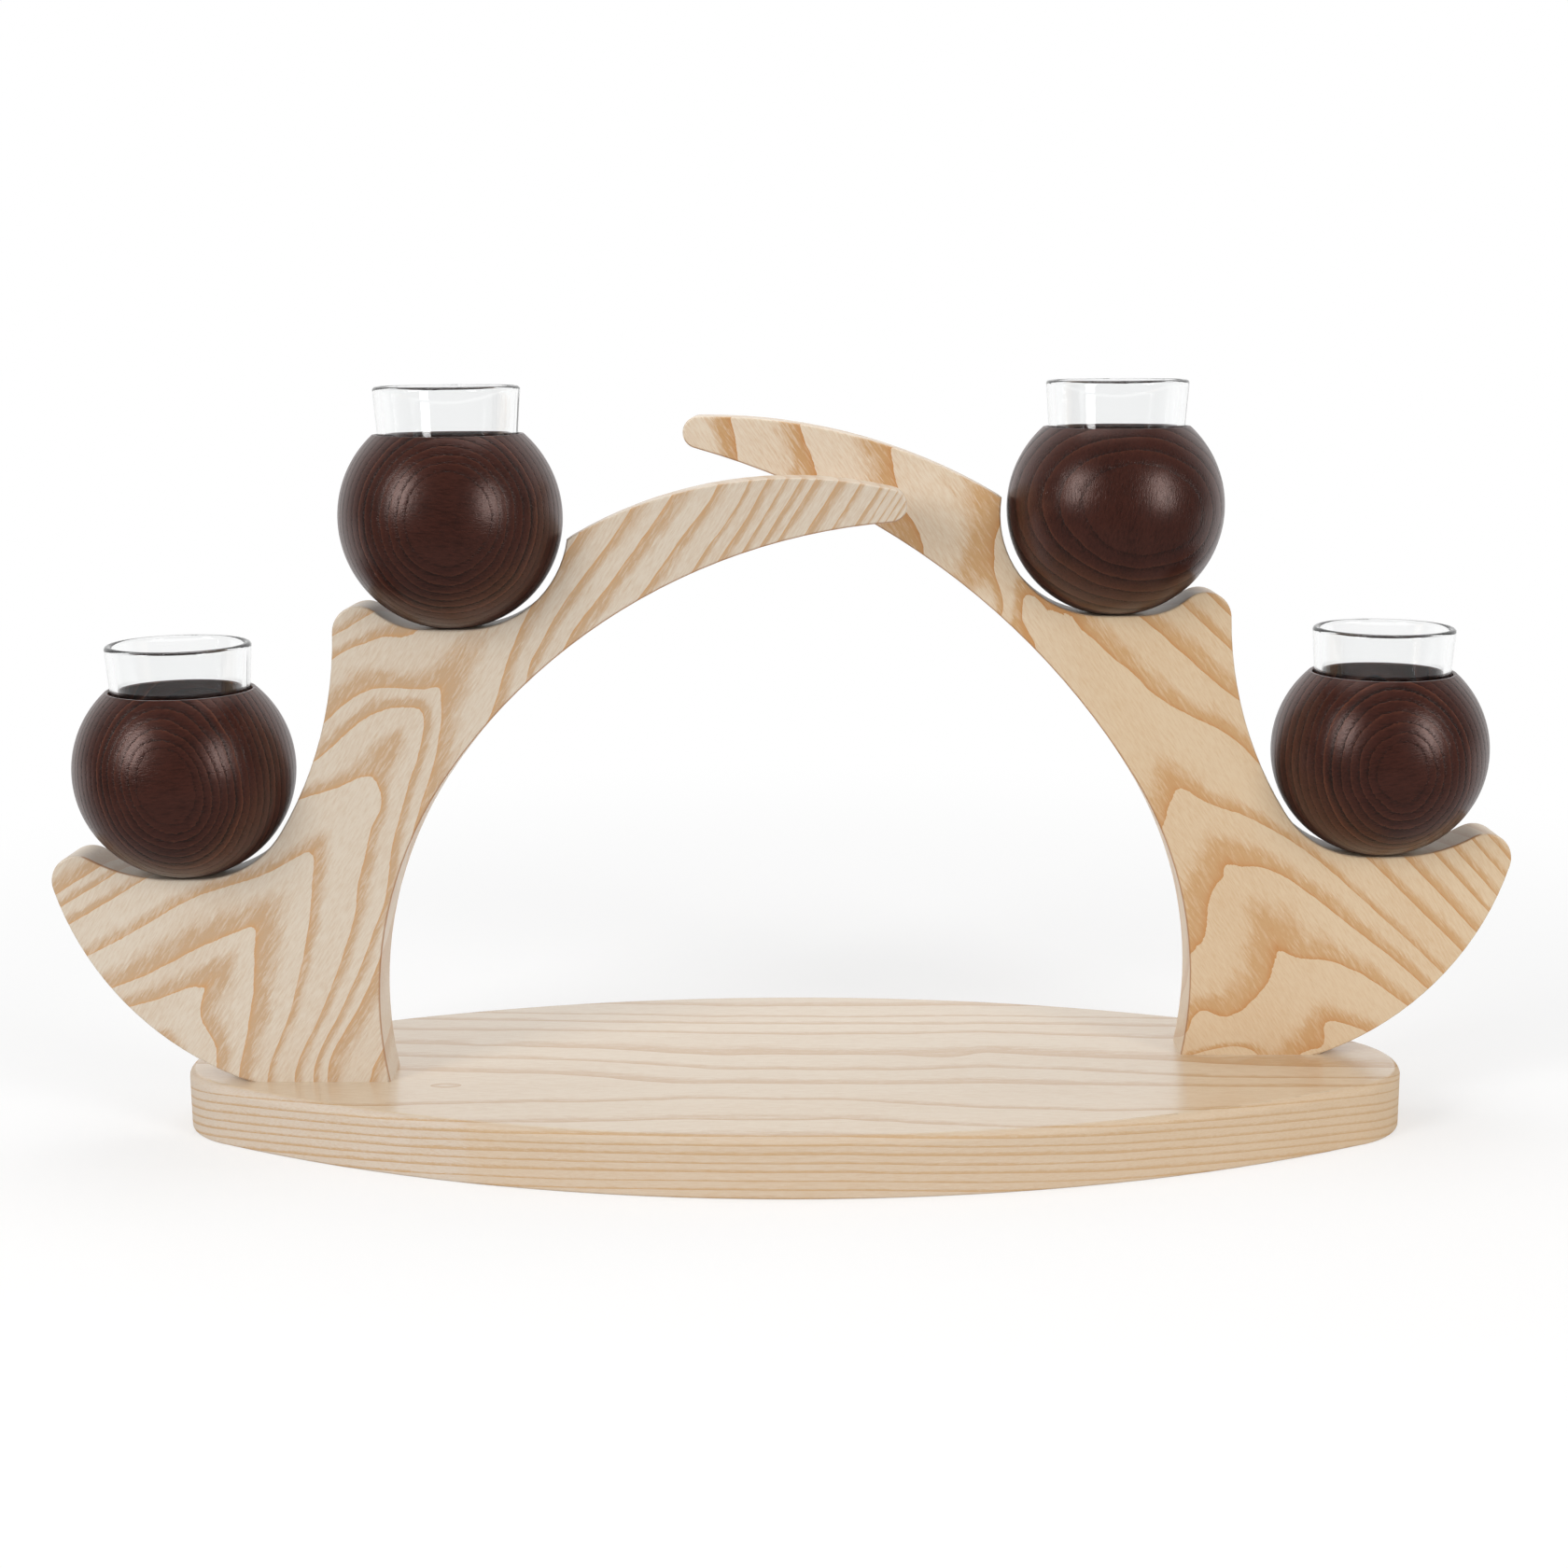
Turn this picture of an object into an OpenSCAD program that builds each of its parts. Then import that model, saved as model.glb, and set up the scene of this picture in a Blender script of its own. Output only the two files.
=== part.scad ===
// Wooden candle arch for four tea lights in glass cups.
// Two arched uprights stand one behind the other on a lens-shaped board and cross
// in the middle. Each carries two turned balls in scooped cradles, and every ball
// holds a loose glass cup. X runs along the board, Y to the back and Z up, with the
// origin on the table under the middle of the board.

/* [Board] */
// Length of the board from end to end
board_l = 457; // [440:1:500]
// Width of the board at its middle
board_w = 171; // [140:1:200]
// Thickness of the board
board_t = 22.5; // [16:0.5:30]
// Radius of the rounded ends, seen from above
board_end_r = 35; // [25:1:45]
// Round-over along the top edge
board_top_r = 3; // [1:0.5:5]
// Round-over along the bottom edge
board_bottom_r = 0.8; // [0.4:0.1:2]

/* [Uprights] */
// Thickness of each upright
upright_t = 20; // [16:0.5:26]
// Air gap between the front and the rear upright
upright_gap = 12; // [6:0.5:20]
// Clear width between the legs at their widest
opening_w = 301.5; // [280:0.5:312]
// Height above the board at which the legs are furthest apart
leg_waist_h = 28.5; // [20:0.5:50]
// Thickness of the wood between the leg's inner arc and the scoop of the upper cradle
neck = 23.4; // [18:0.1:26]
// Distance from the middle to the outer corner of each foot
foot_out = 200; // [190:0.5:210]
// Radius of the round belly between foot and lower tip
belly_r = 109.5; // [90:0.5:150]
// Radius of the hollow between the two cradles
waist_r = 142; // [125:1:180]
// Radius of the rounded tips beside the cradles
tip_r = 9.7; // [7:0.1:12]
// Radius of the rounded arm ends
arm_end_r = 5.8; // [4:0.1:8]

/* [Front arm] */
// Radius of the underside of the front arm
front_arch_r = 216; // [200:1:230]
// Height angle at which the leg runs into the front arm
front_arch_turn = 35.5; // [32:0.5:36]
// Reach of the front arm past the middle, to the centre of its round end
front_reach = 36.5; // [28:0.5:44]
// Height of the front arm's root above the upper seat
front_root_h = 32; // [28:0.5:36]
// Radius of the top edge of the front arm
front_arm_r = 158.5; // [145:0.5:165]

/* [Rear arm] */
// Radius of the underside of the rear arm
rear_arch_r = 281; // [270:1:305]
// Height angle at which the leg runs into the rear arm
rear_arch_turn = 31.5; // [31:0.5:33.5]
// Reach of the rear arm past the middle, to the centre of its round end
rear_reach = 32.5; // [26:0.5:40]
// Height of the rear arm's root above the upper seat
rear_root_h = 43.5; // [40:0.5:47]
// Radius of the top edge of the rear arm
rear_arm_r = 211; // [205:1:235]

/* [Lower cradles] */
// Distance from the middle to the centre of each lower ball
lower_out = 220.5; // [214:0.5:228]
// Height of the lower seat above the board
lower_seat_h = 77; // [70:0.5:84]
// Radius of the lower scoop on its outer side
lower_scoop_out_r = 60; // [48:1:72]
// Room between the lower ball and the inner wall of its scoop
lower_room = 2; // [1:0.5:4]
// Half length of the flat that the lower ball stands on
lower_flat = 5; // [4.5:0.1:8]
// Distance from the ball's centre to the centre of the lower tip
lower_tip_out = 39; // [34:0.5:46]

/* [Upper cradles] */
// Distance from the middle to the centre of each upper ball
upper_out = 120; // [116:0.5:126]
// Height of the upper seat above the board
upper_seat_h = 168; // [160:0.5:176]
// Radius of the upper scoop on its outer side
upper_scoop_out_r = 27; // [22:0.5:32]
// Room between the upper ball and the inner wall of its scoop
upper_room = 3; // [2:0.5:4]
// Length of the flat outside the upper ball's centre
upper_flat_out = 9; // [6:0.5:11]
// Length of the flat inside the upper ball's centre
upper_flat_in = 5; // [4.5:0.1:7]
// Distance from the ball's centre to the centre of the upper tip
upper_tip_out = 32.7; // [28:0.1:36]

/* [Balls] */
// Diameter of the turned balls
ball_d = 79.5; // [76:0.5:84]
// Diameter of the small flat that each ball stands on
ball_foot_d = 14; // [10:0.5:18]
// Room around the glass at the mouth of its bore
cup_room = 0.7; // [0.4:0.1:1.2]
// Room between the glass and the floor of its bore
seat_gap = 0.1; // [0.05:0.05:0.3]
// Width of the flat rim left around the bore
mouth_land = 1.2; // [0.6:0.1:2]
// Small bevel around the mouth of the bore
bore_bevel = 0.4; // [0.2:0.1:0.5]

/* [Glass cups] */
// Outer diameter of the glass at its rim
glass_rim_d = 51.8; // [50.5:0.1:53]
// Height of the glass
glass_h = 30.5; // [28:0.5:48]
// Height by which the glass stands out of the ball
glass_proud = 16.8; // [12:0.1:22]
// Lean of the glass wall from upright, in degrees
glass_lean = 4.2; // [2.8:0.1:5.5]
// Thickness of the glass wall
glass_wall = 2.8; // [1.6:0.1:3.2]
// Thickness of the glass bottom
glass_floor = 4; // [2.5:0.1:6]
// Radius of the outer bottom corner of the glass
glass_corner_r = 2.5; // [1.5:0.1:3.5]

/* [Joinery] */
// Diameter of the dowels under the balls
dowel_d = 8; // [6:0.5:8.5]
// Length of the dowels
dowel_l = 30; // [24:1:40]
// Bevel at both ends of a dowel
dowel_bevel = 1; // [0.5:0.1:1.5]
// Shank diameter of the screws through the board
screw_d = 4; // [3.5:0.1:5]
// Head diameter of the screws
screw_head_d = 8; // [7.4:0.1:9]
// Length of the screws
screw_l = 45; // [38:1:60]
// Distance between the two screws of a foot
screw_pitch = 24; // [18:1:30]
// Radial room around dowels and screw shanks
fit_gap = 0.05; // [0.02:0.01:0.1]

/* [Hidden] */

$fa = 2;
$fs = 0.5;

// Overrun that lets a cut pass through the face it opens
over = 1;
// Length by which arcs run on past the point they share, and the hair by which the
// tighter one covers it
lap = 4;
hair = 0.004;
// Hair by which the round ends of the board cover the points where its sides end
end_hair = 0.15;
// Glue room at each end of a dowel hole, and in front of a screw tip
end_room = 1;
// Depth to which a screw head is set below the face of the board
head_sink = 0.5;
// Included angle of a screw head, and how far its cross goes into it
head_angle = 90;
cross_w = 1;
cross_l = 4.6;
cross_deep = 2.2;
// Length of a screw's tapered tip
screw_tip = 5;

half_l = board_l / 2;
half_w = board_w / 2;
upright_y = (upright_gap + upright_t) / 2;
ball_r = ball_d / 2;
lower_scoop_in_r = ball_r + lower_room - lower_flat;
upper_scoop_in_r = ball_r + upper_room - upper_flat_in;
// Heights above the table
lower_seat_z = board_t + lower_seat_h;
upper_seat_z = board_t + upper_seat_h;
// Inner arc of the leg, on the upright that stands at the left. It is upright where the
// legs are furthest apart, and it keeps the neck's thickness away from the upper scoop.
neck_x = opening_w / 2 - upper_out + upper_flat_in;
neck_z = upper_seat_h + upper_scoop_in_r - leg_waist_h;
neck_span = upper_scoop_in_r + neck;
leg_r = (neck_x * neck_x + neck_z * neck_z - neck_span * neck_span) / (2 * (neck_x + neck_span));
leg = [leg_r - opening_w / 2, board_t + leg_waist_h];
// Radius of the glass's outer wall at a height above its bottom. The lip is a half round,
// and the wall runs down from it at the lean angle.
lip = glass_wall / 2;
lip_mid = [glass_rim_d / 2 - lip, glass_h - lip];
across = [cos(glass_lean), -sin(glass_lean)];
function wall_r(side, z) =
    lip_mid[0] + side * lip * across[0] - (lip_mid[1] + side * lip * across[1] - z) * tan(glass_lean);
// Bore and mouth of a ball, made to fit the glass
glass_sunk = glass_h - glass_proud;
bore_deep = glass_sunk + seat_gap;
bore_r = wall_r(1, glass_sunk) + cup_room;
mouth_r = bore_r + mouth_land;
mouth_h = sqrt(ball_r * ball_r - mouth_r * mouth_r);
foot_h = sqrt(ball_r * ball_r - ball_foot_d * ball_foot_d / 4);
// Middle of each foot, measured from the middle of the board
foot_in = sqrt(leg_r * leg_r - leg_waist_h * leg_waist_h) - leg[0];
foot_mid = (foot_in + foot_out) / 2;

// Ash in two shades, dark stained balls, and the other materials
front_ash = [0.87, 0.80, 0.70];
rear_ash = [0.88, 0.76, 0.61];
board_ash = [0.86, 0.76, 0.63];
stained = [0.20, 0.12, 0.10];
clear_glass = [0.85, 0.92, 0.93, 0.45];
beech = [0.80, 0.64, 0.46];
zinc = [0.72, 0.72, 0.70];

// Direction from one point to another
function toward(from, to) = (to - from) / norm(to - from);

// Crossing of two circles, to the left of the line between their centres (side 1) or
// to its right (side -1)
function crossing(a, ra, b, rb, side) =
    let (d = norm(b - a), along = (ra * ra - rb * rb + d * d) / (2 * d), u = toward(a, b))
    a + along * u + side * sqrt(ra * ra - along * along) * [-u[1], u[0]];

// True where the neighbouring arc bends the same way as this one, but more tightly
function tighter(r, beside) = r * beside > 0 && abs(beside) < abs(r);

// Slice of a disc between the chord from p to q and its arc. A positive radius bows out
// to the right of the chord, a negative one is a hollow on its left. The slice runs on
// past p and q by lap_p and lap_q, and over the chord, so that it joins without a seam.
module bow(p, q, r, lap_p, lap_q, grow) {
    side = sign(r);
    chord = norm(q - p);
    u = toward(p, q);
    n = side * [-u[1], u[0]];
    start = p - lap_p * u;
    end = q + lap_q * u;
    intersection() {
        translate((p + q) / 2 + sqrt(r * r - chord * chord / 4) * n) circle(abs(r) + grow);
        polygon([start - chord * n, end - chord * n, end + lap * n, start + lap * n]);
    }
}

// Bow of edge i of an outline. Beside a tighter arc it ends at the point they share, and
// the tighter one covers that point by a hair.
module edge_bow(steps, i) {
    count = len(steps);
    r = steps[i][1];
    first = tighter(r, steps[(i + count - 1) % count][1]);
    last = tighter(r, steps[(i + 1) % count][1]);
    bow(
        steps[i][0], steps[(i + 1) % count][0], r,
        first ? 0 : lap, last ? 0 : lap, first || last ? 0 : hair
    );
}

// Outline whose edges are arcs. Each step is [point, radius of the edge that leaves it]:
// positive bows out, negative is hollow and 0 is straight. The steps run counterclockwise.
module arc_outline(steps) {
    difference() {
        union() {
            polygon([for (s = steps) s[0]]);
            for (i = [0 : len(steps) - 1])
                if (steps[i][1] > 0) edge_bow(steps, i);
        }
        for (i = [0 : len(steps) - 1])
            if (steps[i][1] < 0) edge_bow(steps, i);
    }
}

// Outline of an upright that stands on the left, with its arm reaching right. Every arc
// runs smoothly into the next, so its centre is found from the arcs beside it.
module upright_outline(arch_r, arch_turn, reach, root_h, arm_r) {
    // Lower cradle: two scoops with a flat between them, and the tip outside it
    low_out = [-lower_out - lower_flat, lower_seat_z + lower_scoop_out_r];
    low_in = [-lower_out + lower_flat, lower_seat_z + lower_scoop_in_r];
    low_span = lower_scoop_out_r + tip_r;
    low_tip_x = -lower_out - lower_tip_out;
    low_tip = [low_tip_x, low_out[1] - sqrt(low_span * low_span - pow(low_tip_x - low_out[0], 2))];

    // Upper cradle, made the same way
    up_out = [-upper_out - upper_flat_out, upper_seat_z + upper_scoop_out_r];
    up_in = [-upper_out + upper_flat_in, upper_seat_z + upper_scoop_in_r];
    up_span = upper_scoop_out_r + tip_r;
    up_tip_x = -upper_out - upper_tip_out;
    up_tip = [up_tip_x, up_out[1] - sqrt(up_span * up_span - pow(up_tip_x - up_out[0], 2))];

    // Hollow between the cradles and belly above the foot
    foot = [-foot_out, board_t];
    waist = crossing(low_in, waist_r - lower_scoop_in_r, up_tip, waist_r + tip_r, 1);
    belly = crossing(foot, belly_r, low_tip, belly_r - tip_r, -1);

    // Inner edge: the leg's arc, then the flatter arc under the arm
    arch = leg + (arch_r - leg_r) * [cos(arch_turn), -sin(arch_turn)];
    leg_top = leg + leg_r * [-cos(arch_turn), sin(arch_turn)];

    // Arm: its round end rides on the underside, its top edge starts at the root
    end_span = arch_r + arm_end_r;
    end = [reach, arch[1] + sqrt(end_span * end_span - pow(reach - arch[0], 2))];
    root_z = upper_seat_z + root_h;
    root = [up_in[0] + sqrt(upper_scoop_in_r * upper_scoop_in_r - pow(root_z - up_in[1], 2)), root_z];
    arm = crossing(root, arm_r, end, arm_r - arm_end_r, -1);

    arc_outline([
        [foot, 0],
        [[-foot_in, board_t], -leg_r],
        [leg_top, -arch_r],
        [end + arm_end_r * toward(end, arch), arm_end_r],
        [end + arm_end_r * toward(arm, end), arm_r],
        [root, -upper_scoop_in_r],
        [[up_in[0], upper_seat_z], 0],
        [[up_out[0], upper_seat_z], -upper_scoop_out_r],
        [up_tip + tip_r * toward(up_tip, up_out), tip_r],
        [up_tip + tip_r * toward(up_tip, waist), -waist_r],
        [low_in + lower_scoop_in_r * toward(waist, low_in), -lower_scoop_in_r],
        [[low_in[0], lower_seat_z], 0],
        [[low_out[0], lower_seat_z], -lower_scoop_out_r],
        [low_tip + tip_r * toward(low_tip, low_out), tip_r],
        [low_tip + tip_r * toward(belly, low_tip), belly_r]
    ]);
}

// Upright on the left of the middle plane, with holes for its two dowels and two screws
module upright(arch_r, arch_turn, reach, root_h, arm_r) {
    difference() {
        rotate([90, 0, 0])
            linear_extrude(upright_t, center = true)
                difference() {
                    upright_outline(arch_r, arch_turn, reach, root_h, arm_r);
                    translate([-board_l, board_t - 2 * lap]) square([board_l, 2 * lap]);
                }
        for (place = [[-lower_out, lower_seat_z], [-upper_out, upper_seat_z]])
            translate([place[0], 0, place[1] - dowel_l / 2 - end_room])
                cylinder(h = dowel_l, r = dowel_d / 2 + fit_gap);
        for (side = [-1, 1])
            translate([-foot_mid + side * screw_pitch / 2, 0, board_t - over])
                cylinder(h = head_sink + screw_l - board_t + end_room + over, r = screw_d / 2 + fit_gap);
    }
}

module front_upright() {
    color(front_ash)
        translate([0, -upright_y, 0])
            upright(front_arch_r, front_arch_turn, front_reach, front_root_h, front_arm_r);
}

module rear_upright() {
    color(rear_ash)
        translate([0, upright_y, 0])
            mirror([1, 0, 0])
                upright(rear_arch_r, rear_arch_turn, rear_reach, rear_root_h, rear_arm_r);
}

// Half section of a round slab with both edges rounded over
module slab_section(r) {
    square([r - board_top_r, board_t]);
    square([r - board_bottom_r, board_t - board_top_r]);
    translate([0, board_bottom_r]) square([r, board_t - board_top_r - board_bottom_r]);
    translate([r - board_top_r, board_t - board_top_r]) circle(board_top_r);
    translate([r - board_bottom_r, board_bottom_r]) circle(board_bottom_r);
}

// Lens-shaped board: where two wide round slabs overlap, cut off where the sides run
// smoothly into the round ends, and the two round ends
module board_blank() {
    end_x = half_l - board_end_r;
    side_r = (end_x * end_x + half_w * half_w - board_end_r * board_end_r)
        / (2 * (half_w - board_end_r));
    side_y = side_r - half_w;
    end_turn = atan2(side_y, end_x);
    reach = board_w * [cos(end_turn), sin(end_turn)];
    intersection() {
        translate([0, side_y, 0]) rotate_extrude() slab_section(side_r);
        translate([0, -side_y, 0]) rotate_extrude() slab_section(side_r);
        linear_extrude(board_t)
            polygon([
                [end_x, 0], [end_x, 0] + reach, [-end_x - reach[0], reach[1]],
                [-end_x, 0], [-end_x, 0] - reach, [end_x + reach[0], -reach[1]]
            ]);
    }
    for (side = [-1, 1])
        translate([side * end_x, 0, 0])
            rotate_extrude() slab_section(board_end_r + end_hair);
}

// The two screw places of the left foot and of the right foot
function screw_place(side, out) =
    [side * (foot_mid + out * screw_pitch / 2), side * upright_y, head_sink];

module base_board() {
    color(board_ash)
        difference() {
            board_blank();
            for (side = [-1, 1], out = [-1, 1])
                translate(screw_place(side, out)) {
                    translate([0, 0, -over - head_sink])
                        cylinder(h = board_t + over * 2, r = screw_d / 2 + fit_gap);
                    screw_sink();
                }
        }
}

// Funnel and counterbore that a screw head is set into
module screw_sink() {
    head_r = screw_head_d / 2;
    translate([0, 0, -over - head_sink]) cylinder(h = over + head_sink, r = head_r + fit_gap);
    cylinder(h = head_r / tan(head_angle / 2), r1 = head_r + fit_gap, r2 = fit_gap);
}

// Ball with its flat mouth, its bore for the glass and its dowel hole, around its centre
module ball() {
    color(stained)
        difference() {
            sphere(ball_r);
            translate([0, 0, mouth_h]) cylinder(h = ball_r, r = ball_r);
            translate([0, 0, -foot_h - ball_r]) cylinder(h = ball_r, r = ball_r);
            translate([0, 0, mouth_h - bore_deep]) cylinder(h = bore_deep + over, r = bore_r);
            translate([0, 0, mouth_h - bore_bevel])
                cylinder(h = bore_bevel + over, r1 = bore_r, r2 = bore_r + bore_bevel + over);
            translate([0, 0, -foot_h - over])
                cylinder(h = over + dowel_l / 2 + end_room, r = dowel_d / 2 + fit_gap);
        }
}

// Glass cup: a leaning wall with a round lip, and a thick bottom with a rounded corner.
// Its height is measured from its own bottom.
module glass() {
    // Centre of the rounded corner, placed so that it touches the wall and the bottom
    corner = [wall_r(1, glass_corner_r) - glass_corner_r / cos(glass_lean), glass_corner_r];
    color(clear_glass)
        rotate_extrude() {
            polygon([
                [0, 0], [corner[0], 0], corner, corner + glass_corner_r * across,
                lip_mid + lip * across, lip_mid - lip * across,
                [wall_r(-1, glass_floor), glass_floor], [0, glass_floor]
            ]);
            intersection() {
                translate(corner) circle(glass_corner_r);
                polygon([
                    corner, [corner[0], -over], [corner[0] + 2 * glass_corner_r, -over],
                    corner + 2 * glass_corner_r * across
                ]);
            }
            translate(lip_mid)
                intersection() {
                    circle(lip);
                    rotate(-glass_lean) translate([-lip - over, -over / 10]) square(2 * (lip + over));
                }
        }
}

// Fluteless dowel with bevelled ends, around its middle
module dowel() {
    color(beech)
        rotate_extrude()
            polygon([
                [0, -dowel_l / 2], [dowel_d / 2 - dowel_bevel, -dowel_l / 2],
                [dowel_d / 2, -dowel_l / 2 + dowel_bevel], [dowel_d / 2, dowel_l / 2 - dowel_bevel],
                [dowel_d / 2 - dowel_bevel, dowel_l / 2], [0, dowel_l / 2]
            ]);
}

// Countersunk screw, head down, with a cross in its head
module screw() {
    head_r = screw_head_d / 2;
    shank_r = screw_d / 2;
    head_h = (head_r - shank_r) / tan(head_angle / 2);
    color(zinc)
        difference() {
            rotate_extrude()
                polygon([
                    [0, 0], [head_r, 0], [shank_r, head_h], [shank_r, screw_l - screw_tip], [0, screw_l]
                ]);
            for (turn = [0, 90])
                rotate([0, 0, turn])
                    translate([-cross_l / 2, -cross_w / 2, -over])
                        cube([cross_l, cross_w, over + cross_deep]);
        }
}

// Places of the balls: 0 and 1 on the front upright at the left, 2 and 3 on the rear one
BALLS = [
    [-lower_out, -upright_y, lower_seat_z],
    [-upper_out, -upright_y, upper_seat_z],
    [upper_out, upright_y, upper_seat_z],
    [lower_out, upright_y, lower_seat_z]
];

module ball_at(i) { translate(BALLS[i] + [0, 0, foot_h]) ball(); }
module glass_at(i) { translate(BALLS[i] + [0, 0, foot_h + mouth_h - glass_sunk]) glass(); }
module dowel_at(i) { translate(BALLS[i]) dowel(); }
module screw_at(side, out) { translate(screw_place(side, out)) screw(); }

base_board();
front_upright();
rear_upright();
ball_at(0);  // ball_lower_left
ball_at(1);  // ball_upper_left
ball_at(2);  // ball_upper_right
ball_at(3);  // ball_lower_right
glass_at(0);  // glass_lower_left
glass_at(1);  // glass_upper_left
glass_at(2);  // glass_upper_right
glass_at(3);  // glass_lower_right
dowel_at(0);  // dowel_lower_left
dowel_at(1);  // dowel_upper_left
dowel_at(2);  // dowel_upper_right
dowel_at(3);  // dowel_lower_right
screw_at(-1, 1);  // screw_left_outer
screw_at(-1, -1);  // screw_left_inner
screw_at(1, -1);  // screw_right_inner
screw_at(1, 1);  // screw_right_outer
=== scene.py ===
# %% [markdown]
# # A candle holder of ash, with dark balls and glass cups
# The real object is a lens-shaped ash board with two arched uprights that cross in the
# middle. Each upright carries two turned, stained balls, and a loose glass cup sits in
# every ball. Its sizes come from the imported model, so this lesson is about surfaces:
# how wood shows its years, how a satin finish shines and how a studio lights them.

# %% Load the frame
import math

import bmesh
import bpy
import numpy as np
from mathutils import Matrix, Vector


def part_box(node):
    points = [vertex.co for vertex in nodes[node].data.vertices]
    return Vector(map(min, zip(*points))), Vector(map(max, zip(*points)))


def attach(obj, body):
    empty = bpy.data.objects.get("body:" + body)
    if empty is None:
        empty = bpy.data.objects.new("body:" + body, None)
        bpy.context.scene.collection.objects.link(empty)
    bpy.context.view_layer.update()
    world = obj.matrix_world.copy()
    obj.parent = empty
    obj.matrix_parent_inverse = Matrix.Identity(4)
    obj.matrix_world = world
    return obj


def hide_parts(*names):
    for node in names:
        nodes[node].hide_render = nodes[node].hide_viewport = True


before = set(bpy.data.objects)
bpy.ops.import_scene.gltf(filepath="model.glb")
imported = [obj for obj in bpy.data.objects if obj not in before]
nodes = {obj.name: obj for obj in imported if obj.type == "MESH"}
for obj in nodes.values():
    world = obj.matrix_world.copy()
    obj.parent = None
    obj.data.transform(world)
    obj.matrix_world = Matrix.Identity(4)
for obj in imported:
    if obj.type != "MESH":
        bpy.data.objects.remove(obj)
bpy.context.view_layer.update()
MM = 0.001

# %% [markdown]
# ## The camera
# The photograph was taken from a little over the balls' height with a long lens. A camera
# could be turned by trial until the picture looks right. Here its place and its three
# angles were worked out from the balls, the rims and the board, so it is set once.

# %% Camera
FOCAL_PX, IMAGE_PX, CENTRE_ROW = 2431.87, 1680, 832.814
PITCH, YAW, ROLL = (math.radians(a) for a in (10.986, -1.252, -0.414))
EYE_PLACE = (15.826, -825.373, 292.056)
SENSOR_MM = 36


def camera_axes(pitch, yaw, roll):
    """Right, up and forward. Forward is turned by yaw from +Y and tipped down by pitch,
    and right and up are then turned about it by roll."""
    level = math.cos(pitch)
    forward = Vector((math.sin(yaw) * level, math.cos(yaw) * level, -math.sin(pitch)))
    right = Vector((math.cos(yaw), -math.sin(yaw), 0))
    up = right.cross(forward)
    return (
        math.cos(roll) * right + math.sin(roll) * up,
        -math.sin(roll) * right + math.cos(roll) * up,
        forward,
    )


right, up, forward = camera_axes(PITCH, YAW, ROLL)
eye = bpy.data.cameras.new("eye")
eye.sensor_width = SENSOR_MM
eye.lens = FOCAL_PX / IMAGE_PX * SENSOR_MM
eye.shift_y = (CENTRE_ROW - IMAGE_PX / 2) / IMAGE_PX
eye.clip_start, eye.clip_end = 0.05, 60
camera = bpy.data.objects.new("camera", eye)
bpy.context.scene.collection.objects.link(camera)
place = Matrix((right, up, -forward)).transposed().to_4x4()
place.translation = Vector(EYE_PLACE) * MM
camera.matrix_world = place
bpy.context.scene.camera = camera
print("lens", round(eye.lens, 2), "shift", round(eye.shift_y, 5))

# %% [markdown]
# ## The studio
# A product table has a white sweep under and behind the object, a large soft lamp on
# each side and a dim room behind the photographer. The two lamps give every ball its two
# upright highlights. The world stands for the sweep: it is white behind the object and
# dim on the camera's side, so that dark wood stays dark. Light Path lets the camera,
# mirrors and glass see the sweep white while it lights the wood at a plain level.

# %% Little helpers for node trees
def link(tree, source, socket):
    """A socket takes a wire, a node's output or a plain value."""
    source = getattr(source, "socket", source)
    if isinstance(source, bpy.types.NodeSocket):
        tree.links.new(source, socket)
    elif source is not None:
        socket.default_value = source


class Wire:
    """A number on its way through a node tree. Sums and products of wires are math nodes."""

    def __init__(self, tree, socket):
        self.tree, self.socket = tree, socket

    def math(self, operation, *others, clamp=False):
        """A math node that takes this wire first, and then the others."""
        node = self.tree.nodes.new("ShaderNodeMath")
        node.operation, node.use_clamp = operation, clamp
        for source, socket in zip((self, *others), node.inputs):
            link(self.tree, source, socket)
        return Wire(self.tree, node.outputs[0])

    def __add__(self, other): return self.math("ADD", other)
    def __sub__(self, other): return self.math("SUBTRACT", other)
    def __rsub__(self, other): return self * -1.0 + other
    def __mul__(self, other): return self.math("MULTIPLY", other)
    def __truediv__(self, other): return self.math("DIVIDE", other)
    def __pow__(self, other): return self.math("POWER", other)
    def __neg__(self): return self * -1.0
    __radd__, __rmul__ = __add__, __mul__

    def step(self, low, high):
        """0 below low, 1 above high, and smooth between them."""
        node = self.tree.nodes.new("ShaderNodeMapRange")
        node.interpolation_type = "SMOOTHSTEP"
        link(self.tree, self, node.inputs["Value"])
        node.inputs["From Min"].default_value = low
        node.inputs["From Max"].default_value = high
        return Wire(self.tree, node.outputs["Result"])


def vector(x, y, z):
    """Three wires or numbers as one vector."""
    tree = next(v.tree for v in (x, y, z) if isinstance(v, Wire))
    node = tree.nodes.new("ShaderNodeCombineXYZ")
    for source, socket in zip((x, y, z), node.inputs):
        link(tree, source, socket)
    return Wire(tree, node.outputs[0])


def split(whole):
    """The x, y and z of a vector, as three wires."""
    node = whole.tree.nodes.new("ShaderNodeSeparateXYZ")
    link(whole.tree, whole, node.inputs[0])
    return [Wire(whole.tree, part) for part in node.outputs]


def coordinate(tree, kind):
    """Where a ray meets the surface, as the renderer knows it: Object, Normal or Generated."""
    return Wire(tree, tree.nodes.new("ShaderNodeTexCoord").outputs[kind])


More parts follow.
